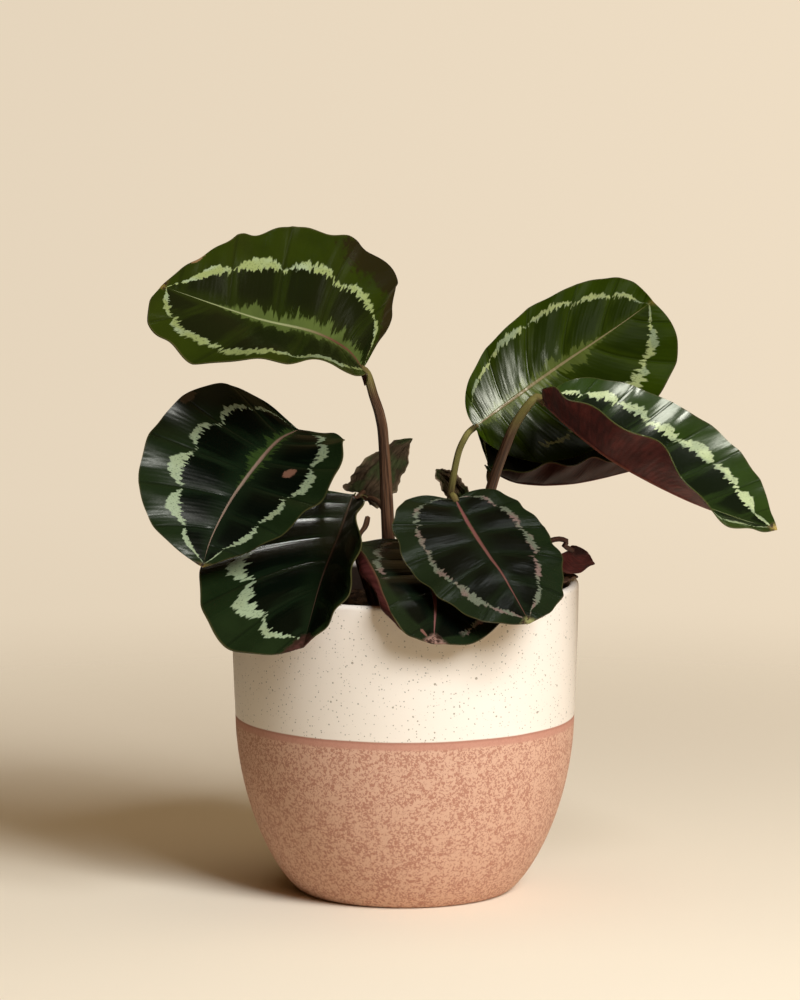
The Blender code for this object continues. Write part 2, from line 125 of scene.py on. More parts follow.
@dataclass
class Leaf:
    """A blade. Pairs are (left, right), seen on its upper face with the tip ahead. Numbers inside
    them run from the stalk to the tip. Angles are degrees above the plane of the face."""

    name: str
    midrib: tuple
    faces: tuple
    half: tuple
    lobe: tuple = (4, 4)
    shoulder: tuple = (0, 0)
    widest: tuple = (0.45, 0.45)
    tip: float = 3.0
    taper: tuple = ((0.9, 0.9), (0.9, 0.9))
    fold: tuple = ((0, 0), (0, 0))
    curl: tuple = ((0, 0), (0, 0))
    roll: tuple = ((0, 0), (0, 0))
    wave: tuple = (1.0, 5, 0.0)
    marks: Marks = None
    smooth: float = 0.0  # 1 where a withered blade has no wrinkles
    tones: tuple = ()  # a withered blade's stripes from dark to light, clouds and margin


@dataclass
class Stalk:
    """A leaf stalk that rises from the soil at root, through the path, to the blade of its name."""

    name: str
    root: tuple
    path: tuple
    radii: tuple
    under: bool = False
    green_from: float = 1.1  # part of its length where the brown turns olive green, if below 1
    look: str = "stalk"


LEAVES = (
    Leaf(
        "upper_left",
        midrib=(
            (-18, -6, 227.5), (-25.5, -12, 237), (-40, -22, 245.5), (-64, -32, 252.5), (-102.5, -54, 268.5),
        ),
        faces=(-0.1, -0.75, 0.55), half=(43, 51), lobe=(-1, 8), shoulder=(18, -13), widest=(0.47, 0.33),
        taper=((1.05, 0.85), (0.8, 0.8)), fold=((43, 36, 5), (5, 5, 15)), curl=((0, 10, 0), (5, 5, 5)),
        wave=(1.5, 6, 0.5),
        marks=Marks(
            ring=(0.8, 0.6), ring_width=0.068, ring_shown=(0.8, 1), lanes=5.6, phase=(0.3, 0.7),
            feather=0.24, feather_end=0.88, scallop=0.09, teeth=2.6, feather_colour=(80, 92, 42), pleat=0.5,
            rib=(92, 52, 42), rib_end=(138, 140, 96), lane_depth=0.75, palette="light",
            damage_and_shade_spots=(
                # The small brown spot is damage; the two large dark patches are painted shade where the
                # margin curls.
                (0.9, 0.99, 3, (120, 92, 60)), (0.34, 0.97, 12, (30, 26, 8)),
                (0.13, 0.95, 14, (34, 28, 10)),
            ),
        ),
    ),
    Leaf(
        "mid_left",
        midrib=(
            (-45.5, -18, 203), (-56, -28, 197.5), (-72, -46, 179), (-81.5, -60, 162.5), (-85, -70, 151.5),
        ),
        faces=(-0.2, -0.85, 0.45), half=(44, 48), lobe=(0, 8), shoulder=(-7, -3), widest=(0.37, 0.42),
        taper=((1, 0.8), (0.8, 0.8)), fold=((26, 14, 5), (5, 5, 5)), curl=((20, 10, 5), (0, 0, 0)),
        wave=(1, 6, 0),
        marks=Marks(
            ring=(0.66, 0.61), ring_width=0.066, ring_from=(0.14, 0), ring_join=-0.1, lanes=6.4,
            phase=(0.2, 0.65), feather=0.17, feather_end=0.7, feather_colour=(46, 62, 24), scallop=0.12,
            rib=(118, 90, 74), rib_end=(136, 112, 94),
            damage_and_shade_spots=((0.48, -0.43, 3.2, (122, 84, 64)), (0.36, 0.96, 3, (80, 68, 44))),
        ),
    ),
    Leaf(
        "lower_left",
        midrib=((-22, -4, 173), (-27, -34, 161.5), (-35, -66, 145), (-42.5, -92, 121)),
        faces=(-0.2, -0.7, 0.7), half=(38, 55.5), lobe=(-14, 9), shoulder=(0, 17), widest=(0.55, 0.5),
        taper=((2, 0.8), (0.9, 0.9)), fold=((45, 50, 35), (5, 5, 5)), curl=((20, 20, 10), (-10, -10, 0)),
        wave=(1.5, 6, 0),
        marks=Marks(
            ring=(0.9, 0.68), ring_width=0.055, lanes=6.6, ring_shown=(0, 1), ring_from=(0, 0.2),
            scallop=0.13, phase=(0.5, 0.8), feather=0.03, rib=(70, 50, 40), rib_end=(64, 44, 36),
            tip=(0.955, (70, 42, 35)),
        ),
    ),
    Leaf(
        "front_centre",
        midrib=((21.5, -26, 174), (27.5, -42, 165), (35, -60, 155.5), (41.5, -74, 148), (52, -94, 131.5)),
        faces=(0.1, -0.75, 0.65), half=(30, 35), lobe=(9, 14), shoulder=(3, 2), widest=(0.5, 0.45),
        fold=((5, 5, 0), (5, 0, 0)), curl=((-10, -10, -10), (-5, -5, -5)), wave=(0.6, 5, 0),
        marks=Marks(
            ring=(0.66, 0.7), ring_width=0.055, ring_shown=(0.75, 0.7), phase=(0.4, 0.1), feather=0.05,
            scallop=0.05, teeth=1.4, ring_tint=(140, 112, 100), rib=(120, 70, 66), rib_end=(114, 70, 62),
            rib_width=1.25, palette="dusk", tip=(0.968, (136, 132, 80)),
        ),
    ),
    Leaf(
        "front_low",
        midrib=((4.5, -18, 155), (8.5, -40, 149), (12.5, -70, 138.5), (12, -89, 122)),
        faces=(0, -0.6, 0.8), half=(38, 38), lobe=(8, 4), shoulder=(8, 6), widest=(0.42, 0.45),
        fold=((5, 5, 0), (5, 10, 10)), curl=((-10, -10, -10), (10, 10, 10)),
        roll=((0, 0, 0), (0, 90, 160, 150)),
        marks=Marks(
            ring=(0.84, 0.57), ring_width=0.08, ring_to=(0.86, 0.58), under=((50, 22, 18), (78, 38, 34)),
            phase=(0.1, 0.6), feather=0.05, scallop=0.05, ring_shown=(0.9, 0.6), ring_tint=(142, 114, 102),
            rib=(128, 80, 74), rib_width=2.4, palette="dusk", tip=(0.955, (142, 110, 94)),
            damage_and_shade_spots=((0.93, 0.5, 2.4, (112, 76, 64)),),
        ),
    ),
    Leaf(
        "upper_right",
        midrib=((30.5, 12, 200.5), (45, 8, 212), (64.5, 2, 227), (88.5, -7, 244.5), (106, -14, 258)),
        faces=(0.15, -0.9, 0.4), half=(28, 40), lobe=(1, 3), shoulder=(5, 9), widest=(0.52, 0.5),
        taper=((0.9, 0.9), (1.3, 0.85)), fold=((10, 10, 5), (0, -10, -10)), curl=((5, 5, 5), (-5, -5, -5)),
        wave=(0.8, 5, 0),
        marks=Marks(
            ring=(0.79, 0.72), ring_from=(0.12, 0.3), phase=(0.25, 0.55), feather=0.22, feather_end=0.9,
            scallop=0.06, feather_colour=(92, 102, 40), rib=(150, 128, 92), rib_end=(150, 132, 92),
            glossy_base=True, lane_depth=0.5, palette="bright",
        ),
    ),
    Leaf(
        "right_rolled",
        midrib=(
            (59, -24, 216.5), (71, -30, 205.5), (89.5, -38, 192), (117, -46, 178), (140, -54, 170),
            (157, -60, 166),
        ),
        faces=(0.4, 0, 0.9), half=(38, 40), lobe=(4, 1), shoulder=(-5, 0), widest=(0.5, 0.4),
        fold=((38, 38, 35), (20, 25, -10)), curl=((45, 52, 40), (10, 10, 0)), wave=(1.5, 6, 0),
        marks=Marks(
            ring=(0.69, 0.86), ring_width=0.075, lanes=8.5, phase=(0.35, 0.2), feather=0.1, scallop=0.05,
            rib=(150, 150, 84), tip=(0.975, (165, 140, 75)), palette="fresh",
        ),
    ),
    Leaf(
        "right_under",
        midrib=((36, 13, 183), (50, 8, 177), (73.5, 2, 177.5), (103.5, -5, 185)), faces=(-0.1, -0.1, 1),
        half=(35, 26), lobe=(20, 3), widest=(0.45, 0.55), fold=((55, 30, 20), (15, 25, 30)),
        curl=((40, 40, 40), (15, 15, 15)), wave=(1.5, 5, 0),
        # Its lower face colours are darkened: painted shade.
        marks=Marks(feather=0.14, feather_colour=(60, 78, 22), under=((38, 14, 9), (58, 28, 20))),
    ),
)

WITHERED = (
    Leaf(
        "withered_back",
        midrib=((-18.5, 19, 170), (-11.5, 21, 178.5), (-3, 24, 188), (3.5, 26, 193.5)),
        faces=(0.3, 0.9, -0.3), half=(12, 13), lobe=(2, 4), widest=(0.25, 0.15),
        taper=((0.6, 1.3), (0.6, 0.8)), fold=((10, 10), (15, 15)), curl=((20, 20), (20, 20)),
        wave=(1.2, 3, 0), tones=((44, 34, 22), (80, 64, 46), (56, 60, 34), (112, 92, 68)),
    ),
    Leaf(
        "withered_centre",
        midrib=((25.5, 18, 166.5), (20.5, 19, 172.5), (16.5, 21, 177), (13.5, 22, 180.5)),
        faces=(0, -0.9, 0.3), half=(5, 7), lobe=(1, 1), tip=1, fold=((20, 20), (30, 30)),
        curl=((20, 20), (20, 20)), wave=(0.5, 3, 0),
        tones=((52, 52, 28), (112, 88, 64), (50, 56, 26), (176, 148, 120)),
    ),
    Leaf(
        "withered_right",
        midrib=((71, -12, 150.5), (75, -11, 148), (82, -9, 143.5)), faces=(0, 0.9, -0.2), half=(10, 3),
        lobe=(5, 0), tip=2, curl=((15, 15), (10, 10)), wave=(0.5, 3, 0), smooth=0.85,
        tones=((58, 20, 18), (92, 36, 32), (44, 16, 14), (104, 60, 48)),
    ),
    Leaf(
        "withered_rim",
        midrib=((60, -9, 130.5), (65, -7, 134.8), (70, -5, 137), (75, -3, 137)), faces=(-0.4, -0.6, 0.7),
        half=(4, 4), lobe=(1, 1), tip=1, fold=((20, 20), (20, 20)), curl=((20, 20), (20, 20)),
        wave=(0.5, 3, 0), tones=((52, 34, 26), (104, 74, 56), (40, 26, 20), (130, 98, 74)),
    ),
)

STALKS = (
    Stalk(
        "upper_left", root=(-6, 3), radii=(3, 3, 2.8, 2.3, 1.9), green_from=0.93,
        path=((-7, 2, 150), (-9, 1, 193.5), (-10.5, 0, 206), (-13.5, -2, 216)),
    ),
    Stalk(
        "mid_left", root=(-14, 8), radii=(2.6, 2.4, 2, 1.7), under=True,
        path=((-20, 9, 144.5), (-30, 8, 163), (-38, 1, 180), (-43, -9, 194)),
    ),
    Stalk(
        "lower_left", root=(-13, -6), radii=(2.6, 2.3, 2, 1.7), under=True,
        path=((-19.5, -4, 144.5), (-22.5, -1, 157.5), (-23, 0, 165)),
    ),
    Stalk(
        "front_centre", root=(15, -8), radii=(2.4, 2.1, 1.8, 1.6), green_from=0.6,
        path=((19, -5, 145.5), (21.5, -9, 160)),
    ),
    Stalk(
        "front_low", root=(0, -9), radii=(2.4, 2.1, 1.8, 1.6), under=True, green_from=0.85,
        path=((2, -10, 141), (3.5, -13, 149)),
    ),
    Stalk(
        "upper_right", root=(15, 5), radii=(1.9, 1.7, 1.5, 1.4), green_from=0.7,
        path=((18.5, 8, 156), (20, 10, 172), (23, 12, 188), (26, 11.5, 195.5)),
    ),
    Stalk(
        "right_rolled", root=(25, -2), radii=(2.7, 2.5, 2.4, 2.2, 1.8), green_from=0.86,
        path=((31.5, -9, 153), (37, -18, 178), (43.5, -23, 197.5), (48, -24, 207.5)),
    ),
    Stalk(
        "right_under", root=(25, 8), radii=(2.2, 1.9, 1.7, 1.5), under=True, green_from=0.85,
        path=((33.5, 11, 151.5), (38, 16, 170)),
    ),
    Stalk("withered_centre", root=(10, 13), path=((17.5, 18, 151), (22.5, 20, 160)), radii=(1.5, 1.3, 1.1)),
    Stalk(
        "withered_right", root=(32, -9), radii=(1.6, 1.3, 1.1), look="dry",
        path=((41, -10, 139), (56, -13, 151), (65, -14, 155), (70, -14, 154)),
    ),
    Stalk("withered_rim", root=(56, -10), path=(), radii=(1.3, 1.2, 1.1), look="dry"),
    Stalk(
        "stub", root=(-11, -16), radii=(1.6, 1.4, 1.2, 0.9),
        path=((-16, -12, 143), (-20, -10, 154), (-17, -9, 160), (-16, -9, 164)),
    ),
)
SIDE_STALK = ((-7.5, 2.5, 158), (-9, 9, 164.5), (-14, 15, 168.5))
SIDE_STALK_RADII = (1.4, 1.2, 1.1)


def srgb(r, g, b):
    """A picture's colour, 0 to 255, as the linear colour that a shader takes."""
    linear = [c / 255 / 12.92 if c <= 10 else ((c / 255 + 0.055) / 1.055) ** 2.4 for c in (r, g, b)]
    return (*linear, 1.0)


# Shapes


def unit(v):
    return v / np.linalg.norm(v, axis=-1, keepdims=True)


def smooth_path(points, count):
    """A Catmull-Rom curve through the points, read at count even steps, and its length."""
    p = np.array(points, float)
    p = np.vstack([2 * p[0] - p[1], p, 2 * p[-1] - p[-2]])
    fine = [p[1]]
    for a, b, c, d in zip(p, p[1:], p[2:], p[3:]):
        for s in np.arange(1, CURVE_STEPS + 1) / CURVE_STEPS:
            square, cube = 2 * a - 5 * b + 4 * c - d, 3 * b - a - 3 * c + d
            fine.append((2 * b + (c - a) * s + square * s**2 + cube * s**3) / 2)
    fine = np.array(fine)
    run = np.concatenate([[0], np.cumsum(np.linalg.norm(np.diff(fine, axis=0), axis=1))])
    steps = np.linspace(0, run[-1], count)
    return np.stack([np.interp(steps, run, fine[:, k]) for k in range(3)], axis=1), run[-1]


def blend(values, s):
    """Values that stand at even steps from 0 to 1, read with eased steps at s."""
    values = np.array(values, float)
    last = len(values) - 1
    s = np.clip(s, 0, 1) * last
    i = np.clip(np.floor(s).astype(int), 0, last - 1)
    f = s - i
    f = f * f * (3 - 2 * f)
    return values[i] * (1 - f) + values[i + 1] * f


def lane(marks, k, v):
    """How far along the stretch between two main veins v lies, from 0 to 1."""
    return (v * marks.lanes + marks.phase[k]) % 1


def outline(leaf, k, v, length):
    """The flat margin of one half: x along the midrib and y out from it, for v from 0 to 1."""
    turn = pi * v**0.9
    out = np.abs(np.sin(turn))
    skew = log(leaf.widest[k]) / log(0.5)
    x = (length - leaf.tip) * ((1 - np.cos(turn)) / 2) ** skew
    x = x - 1.9 * leaf.lobe[k] * out * (1 - v) ** 2 + 3.2 * leaf.shoulder[k] * out * v**3
    x = x + leaf.tip * np.clip((v - 0.88) / 0.12, 0, 1) ** 2
    base, end = leaf.taper[k]
    y = leaf.half[k] * out ** (base + (end - base) * v) + STALK_HALF * (1 - v) ** 8
    if leaf.marks:
        points = np.sin(pi * lane(leaf.marks, k, v)) + 0.3 * np.sin(63 * v + 2 * k) + 0.3
        y = y - leaf.marks.teeth * points * out**0.5
    else:
        ragged = 0.1 * np.abs(np.sin(17 * v + k)) + 0.08 * np.abs(np.sin(41 * v + 2 * k))
        y = y * (1 - ragged * (1 - leaf.smooth))
    return x, y


def flat_blade(leaf, v, t):
    """Where v and t lie on the blade laid flat: x along the midrib, y out from it, and its length."""
    rib, length = smooth_path(leaf.midrib, 200)
    (left_x, left_y), (right_x, right_y) = (outline(leaf, k, v, length) for k in (0, 1))
    left = t < 0
    s = np.abs(t)
    foot = length * v**VEIN_LEAN
    x = foot + (np.where(left, left_x, right_x) - foot) * s**VEIN_BEND
    return x, np.where(left, left_y, right_y) * s, rib, length


def section_frame(leaf, ahead, rib):
    """The directions ahead and up of cross-sections where the midrib runs ahead."""
    ahead = unit(ahead * (1 - FRAME_STIFFNESS) + unit(rib[-1] - rib[0]) * FRAME_STIFFNESS)
    faces = unit(np.array(leaf.faces, float))
    return ahead, unit(faces - ahead * (ahead @ faces)[..., None])


def blade_surface(leaf, v, t):
    """The middle surface of a blade. v runs from 0 at the stalk to 1 at the tip, and t from -1 at the
    left margin over 0 at the midrib to 1 at the right margin. A vein has one v all along."""
    v, t = np.broadcast_arrays(np.asarray(v, float), np.asarray(t, float))
    left = t < 0
    s = np.abs(t)
    x, y, rib, length = flat_blade(leaf, v, t)
    along = np.clip(x / length, 0, 1)
    steps = np.linspace(0, 1, len(rib))
    directions = unit(np.gradient(rib, axis=0))
    point = np.stack([np.interp(along, steps, rib[:, k]) for k in range(3)], -1)
    ahead = unit(np.stack([np.interp(along, steps, directions[:, k]) for k in range(3)], -1))
    point = point + ahead * (x - along * length)[..., None]
    ahead, up = section_frame(leaf, ahead, rib)
    right = np.cross(ahead, up)

    def angle(pair):
        return np.radians(np.where(left, blend(pair[0], along), blend(pair[1], along)))

    fold, curl, roll = angle(leaf.fold), angle(leaf.curl), angle(leaf.roll)
    reach = y / np.where(left, *leaf.half)

    def slope(part):
        return fold + curl * reach * part + roll * np.clip((s * part - 0.8) / 0.1, 0, 1)

    parts = (np.arange(CURVE_STEPS) + 0.5) / CURVE_STEPS
    across = sum(np.cos(slope(part)) for part in parts) * y / len(parts)
    rise = sum(np.sin(slope(part)) for part in parts) * y / len(parts)
    side = np.where(left, -1.0, 1.0)
    point = point + right * (side * across)[..., None] + up * rise[..., None]
    normal = up * np.cos(slope(1))[..., None] - right * (side * np.sin(slope(1)))[..., None]
    height, count, phase = leaf.wave
    swell = np.sqrt(np.sin(pi * np.clip(v, 0, 1)).clip(0))
    lift = height * s**3 * np.sin(2 * pi * (count * v + phase + 0.37 * left)) * swell
    if leaf.marks:
        part = np.where(left, lane(leaf.marks, 0, v), lane(leaf.marks, 1, v))
        pleat = leaf.marks.pleat * (np.sin(pi * part) - 0.6)
        lift = lift + pleat * np.sin(pi * s) ** 0.7 * swell
    return point + normal * lift[..., None]


def grid_normals(points):
    """Normals of a grid of points, rows by columns. The last row is one point: it takes the row before."""
    down = np.gradient(points, axis=0)
    over = np.gradient(points, axis=1)
    normals = np.cross(over, down)
    normals[-1] = normals[-2]
    return unit(normals)


def add_object(name, data):
    obj = bpy.data.objects.new(name, data)
    scene.collection.objects.link(obj)
    return obj


def new_object(name, points, faces, materials, slots=None, maps=None, sharp=50):
    """A smooth object from points in millimetres. maps holds a (point, 2) array for each UV map."""
    mesh = bpy.data.meshes.new(name)
    mesh.from_pydata((np.asarray(points) * MM).tolist(), [], faces)
    for finish in materials:
        mesh.materials.append(finish)
    if slots is not None:
        mesh.polygons.foreach_set("material_index", np.asarray(slots, np.int32))
    corners = np.empty(len(mesh.loops), np.int32)
    mesh.loops.foreach_get("vertex_index", corners)
    for title, values in (maps or {}).items():
        layer = mesh.uv_layers.new(name=title)
        layer.data.foreach_set("uv", np.asarray(values, np.float32)[corners].ravel())
    mesh.update()
    mesh.shade_smooth()
    mesh.set_sharp_from_angle(angle=radians(sharp))
    obj = add_object(name, mesh)
    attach(obj, "root")
    return obj


def crumple(leaf, v, t):
    """The small folds of a withered blade."""
    folds = 0.5 * np.sin(t * 9 + v * 4) + 0.3 * np.sin(t * 21 - v * 6) + 0.35 * np.sin(v * 19 + t * 5)
    return (1 - leaf.smooth) * folds * np.sin(pi * v) ** 0.5


def rib_depth(leaf, v, t):
    """How far the midrib stands out under a blade. A withered blade has none."""
    if not leaf.marks:
        return np.zeros_like(v)
    _, out, _, _ = flat_blade(leaf, v, t)
    return RIB_DEPTH * np.clip(v / 0.04, 0, 1) * (1 - v) ** 0.8 * np.exp(-((out / RIB_HALF) ** 2))


def blade_faces(rows, wide):
    """The faces of an upper sheet, a lower sheet and the rim between them, and their material slots.
    A sheet is rows of points, each row wide points long, and one point at the tip."""
    below = rows * wide + 1

    def spot(i, j):
        return rows * wide if i == rows else i * wide + j

    faces, slots = [], []
    for i in range(rows):
        for j in range(wide - 1):
            cell = [spot(i, j), spot(i, j + 1), spot(i + 1, j + 1), spot(i + 1, j)]
            if i == rows - 1:
                cell = cell[:3]
            faces += [cell, [n + below for n in reversed(cell)]]
            slots += [0, 1]
    edge = [spot(0, j) for j in range(wide)] + [spot(i, wide - 1) for i in range(1, rows + 1)]
    edge += [spot(i, 0) for i in range(rows - 1, -1, -1)]
    for a, b in zip(edge, edge[1:]):
        faces.append([b, a, a + below, b + below])
        slots.append(0)
    return faces, slots


def blade_object(leaf, upper, lower, rows=BLADE_ROWS, columns=BLADE_COLUMNS):
    """A closed thin blade: a patterned upper face, a lower face with a raised midrib, and a rim."""
    s = np.linspace(0, 1, columns) ** 1.5
    t = np.concatenate([-s[:0:-1], s])
    vv, tt = np.meshgrid(np.linspace(0, 1, rows + 1), t, indexing="ij")
    middle = blade_surface(leaf, vv, tt)
    normals = grid_normals(middle)
    if not leaf.marks:
        middle = middle + normals * crumple(leaf, vv, tt)[..., None]
        normals = grid_normals(middle)
    top = middle + normals * (BLADE_THICKNESS / 2)
    bottom = middle - normals * (BLADE_THICKNESS / 2 + rib_depth(leaf, vv, tt))[..., None]
    points, coordinates = [], []
    for sheet in (top, bottom):
        points += [sheet[:-1].reshape(-1, 3), sheet[-1].mean(axis=0)[None]]
        coordinates += [np.stack([vv[:-1], tt[:-1]], -1).reshape(-1, 2), np.array([[1.0, 0.0]])]
    faces, slots = blade_faces(rows, len(t))
    points, maps = np.concatenate(points), {"veins": np.concatenate(coordinates)}
    return new_object("leaf_" + leaf.name, points, faces, (upper, lower), slots, maps)


def knob(part):
    """The dry stub's swollen end and uneven width."""
    return 1 + 0.35 * np.exp(-(((part - 0.94) / 0.05) ** 2)) + 0.18 * np.sin(part * 40)


def tube(path, radii, swell=None):
    """Points, faces and (turn, run) coordinates of a fine round solid along a smooth path."""
    length = smooth_path(path, 2)[1]
    rings = max(12, round(length / RING_SPACING))
    centres, _ = smooth_path(path, rings)
    part = np.linspace(0, 1, rings)
    radius = blend(radii, part)
    if swell is not None:
        radius = radius * swell(part)
    ahead = unit(np.gradient(centres, axis=0))
    side = unit(np.cross(ahead[0], (0.3, 1, 0)))
    points, coordinates = [], []
    for centre, way, r, p in zip(centres, ahead, radius, part):
        side = unit(side - way * (side @ way))
        other = np.cross(way, side)
        for k in range(STALK_SIDES):
            a = 2 * pi * k / STALK_SIDES
            ridge = 1 + 0.025 * sin(5 * a + 9 * p) + 0.02 * sin(3 * a - 14 * p)
            points.append(centre + (side * cos(a) + other * sin(a)) * r * ridge)
            coordinates.append((0.5 - 0.5 * cos(a), p))
    faces = []
    for i in range(rings - 1):
        for k in range(STALK_SIDES):
            a, b = i * STALK_SIDES + k, i * STALK_SIDES + (k + 1) % STALK_SIDES
            faces.append([a, b, b + STALK_SIDES, a + STALK_SIDES])
    last = len(points) - STALK_SIDES
    for start, end, way in ((0, 0, -1), (last, -1, 1)):
        hub = len(points)
        points.append(centres[end] + ahead[end] * way * radius[end] * 0.5)
        coordinates.append((0.5, part[end]))
        for k in range(STALK_SIDES):
            pair = [start + k, start + (k + 1) % STALK_SIDES]
            faces.append([*pair[::way], hub])
    return points, faces, coordinates


def joint_points(blade, radius, under=False):
    """The last points of a stalk, which runs into the base of its blade or comes up under it."""
    leaf = next(leaf for leaf in LEAVES + WITHERED if leaf.name == blade)
    rib, _ = smooth_path(leaf.midrib, 40)
    ahead, up = section_frame(leaf, unit(rib[1] - rib[0]), rib)
    if under:
        end = rib[0] + ahead * radius - up * (BLADE_THICKNESS / 2 + 0.4)
        return [end - up * 4, end]
    end = rib[0] + ahead * 1.5 - up * 0.6
    return [end - ahead * 5 - up * 0.6, end]


def outer_radius(z):
    """The pot's outside: it widens from the foot as a super-ellipse, then runs almost straight up."""
    if z > GLAZE_HEIGHT:
        s = (z - GLAZE_HEIGHT) / (POT_HEIGHT - GLAZE_HEIGHT)
        return GLAZE_RADIUS + (RIM_RADIUS - GLAZE_RADIUS) * (1 - (1 - s) ** 1.6)
    s = 1 - z / GLAZE_HEIGHT
    return FOOT_RADIUS + (GLAZE_RADIUS - FOOT_RADIUS) * (1 - s**1.88) ** (1 / 1.35)


def inner_radius(z):
    rise = POT_HEIGHT / (POT_HEIGHT - POT_FLOOR)
    return outer_radius((z - POT_FLOOR) * rise) - WALL


def lathe(name, profile, finish, sides=POT_SIDES, sharp=60):
    """A solid turned round Z from (radius, height) points that start and end on the axis."""
    ring = [2 * pi * k / sides for k in range(sides)]
    points = [(0, 0, profile[0][1])]
    for r, z in profile[1:-1]:
        points += [(r * cos(a), r * sin(a), z) for a in ring]
    points.append((0, 0, profile[-1][1]))
    top = len(points) - 1
    faces = []
    for k in range(sides):
        n = (k + 1) % sides
        faces += [(0, 1 + n, 1 + k), (top, top - sides + k, top - sides + n)]
        for i in range(len(profile) - 3):
            a, b = 1 + i * sides + k, 1 + i * sides + n
            faces.append((a, b, b + sides, a + sides))
    return new_object(name, points, faces, (finish,), sharp=sharp)


# Materials


class Value:
    """A number in a material's nodes, on which ordinary arithmetic works."""

    def __init__(self, graph, socket):
        self.graph, self.socket = graph, socket

    def use(self, operation, *others):
        node = self.graph.node("Math", operation=operation)
        for slot, value in zip(node.inputs, (self, *others)):
            self.graph.put(slot, value)
        return Value(self.graph, node.outputs[0])

    def __add__(self, other):
        return self.use("ADD", other)

    def __sub__(self, other):
        return self.use("SUBTRACT", other)

    def __rsub__(self, other):
        return self.use("MULTIPLY", -1).use("ADD", other)

    def __mul__(self, other):
        return self.use("MULTIPLY", other)

    def __truediv__(self, other):
        return self.use("DIVIDE", other)

    def __pow__(self, other):
        return self.use("POWER", other)


class Graph:
    """The nodes of one material, or of the world."""

    def __init__(self, name, kind="materials"):
        self.owner = getattr(bpy.data, kind).new(name)
        self.owner.use_nodes = True
        self.tree = self.owner.node_tree
        self.shader = self.tree.nodes.get("Principled BSDF")

    def put(self, socket, value):
        """Link or set a value. Three plain numbers are a picture's colour."""
        value = getattr(value, "socket", value)
        if isinstance(value, bpy.types.NodeSocket):
            self.tree.links.new(value, socket)
        elif isinstance(value, tuple) and len(value) == 3:
            socket.default_value = srgb(*value)
        else:
            socket.default_value = value

    def node(self, kind, inputs=None, **settings):
        made = self.tree.nodes.new("ShaderNode" + kind)
        for key, value in settings.items():
            setattr(made, key, value)
        for key, value in (inputs or {}).items():
            self.put(made.inputs[key], value)
        return made

    def split(self, vector):
        """The three numbers of a vector or a colour."""
        return [Value(self, out) for out in self.node("SeparateXYZ", {0: vector}).outputs]

    def uv(self, title):
        """The two numbers of a UV map."""
        return self.split(self.node("UVMap", uv_map=title).outputs[0])[:2]

    def place(self):
        """The point's place on the object."""
        return self.node("TexCoord").outputs["Object"]

    def vector(self, x, y, z=0):
        return self.node("CombineXYZ", {0: x, 1: y, 2: z}).outputs[0]

    def noise(self, *values):
        names = ("Vector", "Scale", "Detail", "Roughness", "Distortion")
        return Value(self, self.node("TexNoise", dict(zip(names, values))).outputs[0])

    def random(self, value):
        """A random number from 0 to 1 for each value."""
        made = self.node("TexWhiteNoise", {"W": value}, noise_dimensions="1D")
        return Value(self, made.outputs["Value"])

    def ramp(self, value, start, end, low=0, high=1, smooth=False):
        """From low to high as the value goes from start to end."""
        inputs = {"Value": value, "From Min": start, "From Max": end, "To Min": low, "To Max": high}
        kind = "SMOOTHSTEP" if smooth else "LINEAR"
        return Value(self, self.node("MapRange", inputs, interpolation_type=kind).outputs[0])

    def step(self, value, low, high):
        """0 below low and 1 above high, or the other way round, with a smooth change."""
        return self.ramp(value, low, high, smooth=True)

    def mix(self, factor, a, b):
        """The colour a where the factor is 0 and b where it is 1."""
        return self.node("Mix", {0: factor, 6: a, 7: b}, data_type="RGBA").outputs[2]

    def bump(self, height, distance, strength=1):
        inputs = {"Height": height, "Distance": distance * MM, "Strength": strength}
        self.put(self.shader.inputs["Normal"], self.node("Bump", inputs).outputs[0])

    def finish(self, colour, roughness, specular=0.5):
        names = ("Base Color", "Roughness", "Specular IOR Level")
        for name, value in zip(names, (colour, roughness, specular)):
            self.put(self.shader.inputs[name], value)
        return self.owner


PALETTES = {  # outer zone, inner zone, dark lanes, ring
    "dark": ((26, 38, 16), (17, 28, 13), (4, 8, 4), (152, 164, 126)),
    "dusk": ((24, 34, 16), (17, 26, 13), (5, 8, 5), (120, 124, 100)),
    "fresh": ((40, 57, 15), (30, 44, 14), (8, 16, 6), (186, 194, 140)),
    # light and bright: raised base colours, painted light for light shining through these blades from
    # behind.
    "light": ((35, 45, 4), (27, 36, 5), (9, 14, 4), (140, 148, 90)),
    "bright": ((48, 62, 6), (50, 62, 8), (22, 32, 6), (176, 182, 118)),
}
STALK_TONES = {  # streaks from low to high, and the pale grey, which is partly painted highlight
    "stalk": ((50, 32, 22), (98, 68, 47), (138, 114, 90)),
    "dry": ((44, 26, 20), (84, 52, 42), (120, 88, 66)),
}
SPECKS = ((230, 0.17, 0.4), (560, 0.24, 0.2), (820, 0.3, 0.45))  # scale, size, share left out


class BladePlace:
    """Where a point of a blade lies: v and t, s out from the midrib, and arch, which goes from 0 at one
    main vein over 1 to 0 at the next."""

    def __init__(self, g, marks):
        self.g = g
        self.v, self.t = g.uv("veins")
        self.s = self.t.use("ABSOLUTE")
        self.right = self.t.use("GREATER_THAN", 0)
        lanes = self.v * marks.lanes + self.either(marks.phase)
        number = lanes.use("FLOOR") + self.right * 31
        part = lanes.use("FRACT")
        self.arch = part * (1 - part) * 4
        self.chance, self.chance_2 = g.random(number), g.random(number + 7.3)

    def either(self, pair):
        """The left half's number or the right half's."""
        return self.right * (pair[1] - pair[0]) + pair[0]

    def streaks(self, along, across, shift, detail=3, roughness=0.5):
        """Noise drawn out along the veins: fine from stalk to tip, and coarse across."""
        place = self.g.vector(self.v * along, self.s * across, self.right * 5 + shift)
        return self.g.noise(place, 1, detail, roughness)


